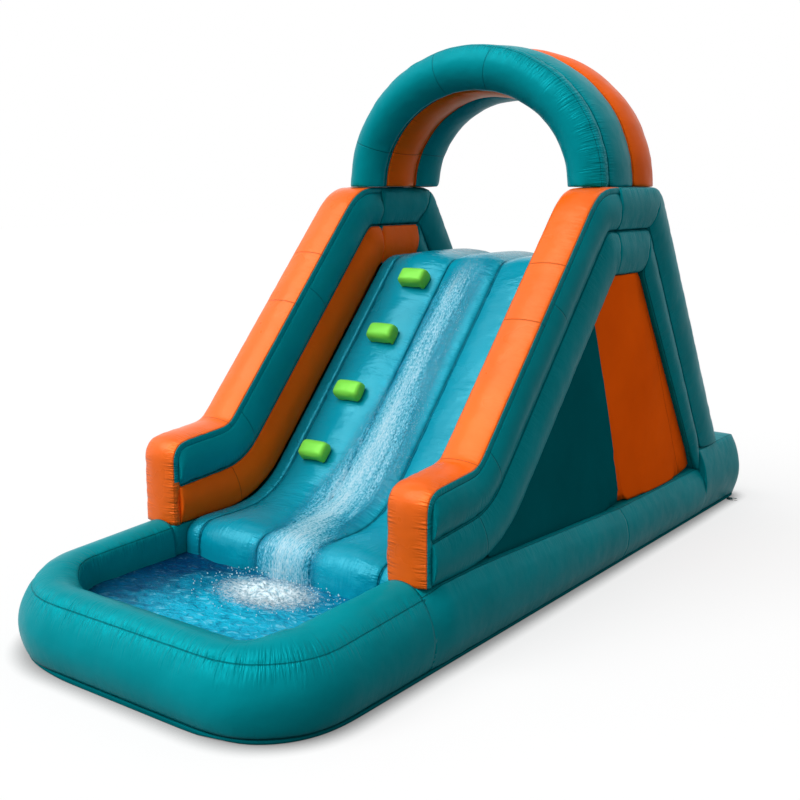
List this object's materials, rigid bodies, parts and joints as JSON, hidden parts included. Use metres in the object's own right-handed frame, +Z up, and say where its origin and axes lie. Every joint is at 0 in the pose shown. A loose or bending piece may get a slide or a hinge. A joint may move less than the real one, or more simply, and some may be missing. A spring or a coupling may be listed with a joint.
{
  "type": "inflatable water slide",
  "caption": "Inflatable garden water slide: splash pool, padded slide with climbing grips between sloping side walls, and an arch over the top.",
  "frame": {"origin": "on the ground, in the middle of the ground sheet", "axes": "+Z up, +Y from the pool towards the back of the tower, +X to the slide's right as seen from its back looking to the pool's far side"},
  "size_m": [1.7596, 4.3437, 2.5443],
  "materials": {
    "teal": "glossy coated fabric",
    "orange": "glossy coated fabric",
    "blue": "glossy coated fabric, wet",
    "green": "glossy coated fabric over foam",
    "webbing": "woven strap",
    "steel": "satin",
    "plastic": "moulded"
  },
  "bodies": {
    "slide": {"ground_sheet": "teal", "pool_tube": "teal", "pool_floor": "blue", "base_side_front_left": "teal", "base_side_front_right": "teal", "base_side_rear_left": "teal", "base_side_rear_right": "teal", "base_back": "teal", "wall_strip_left": "orange", "wall_strip_right": "orange", "wall_upper_left": "teal", "wall_upper_right": "teal", "wall_lower_left": "teal", "wall_lower_right": "teal", "top_rail_left": "teal", "top_rail_right": "teal", "inner_rail_left": "teal", "inner_rail_right": "teal", "rear_leg_outer_left": "teal", "rear_leg_outer_right": "teal", "rear_leg_inner_left": "teal", "rear_leg_inner_right": "teal", "teal_panel_left": "teal", "teal_panel_right": "teal", "orange_panel_left": "orange", "orange_panel_right": "orange", "lane_left": "blue", "lane_centre": "blue", "lane_right": "blue", "bed_edge_left": "blue", "bed_edge_right": "blue", "back_edge_left": "teal", "back_left": "teal", "back_centre": "teal", "back_right": "teal", "back_edge_right": "teal", "inner_web_left": "webbing", "inner_web_right": "webbing", "hold_1": "green", "hold_2": "green", "hold_3": "green", "hold_4": "green", "arch_front": "teal", "arch_middle": "teal", "arch_rear": "orange", "spray_tube": "plastic", "spray_tie_middle": "webbing", "spray_tie_right": "webbing", "feed_tie_1": "webbing", "feed_tie_2": "webbing", "hose_tail": "plastic", "blower_sleeve": "teal", "sleeve_strap": "webbing", "sleeve_buckle": "plastic", "anchor_tab_left": "webbing", "anchor_tab_right": "webbing"},
    "coupling_nut": {"hose_nut": "plastic"},
    "ring_left": {"anchor_ring_left": "steel"},
    "ring_right": {"anchor_ring_right": "steel"}
  },
  "joints": [
    {"name": "coupling_nut_turn", "type": "hinge", "parent": "slide", "child": "coupling_nut", "pos_m": [-0.3325, 1.45432, 0.62611], "axis": [0, 0.5403, -0.8415], "continuous": true},
    {"name": "ring_left_swing", "type": "hinge", "parent": "slide", "child": "ring_left", "pos_m": [-0.8453, 1.9, 0.0048], "axis": [0, 1, 0], "range_deg": [0, 115]},
    {"name": "ring_right_swing", "type": "hinge", "parent": "slide", "child": "ring_right", "pos_m": [0.8453, 1.9, 0.0048], "axis": [0, -1, 0], "range_deg": [0, 115]}
  ]
}
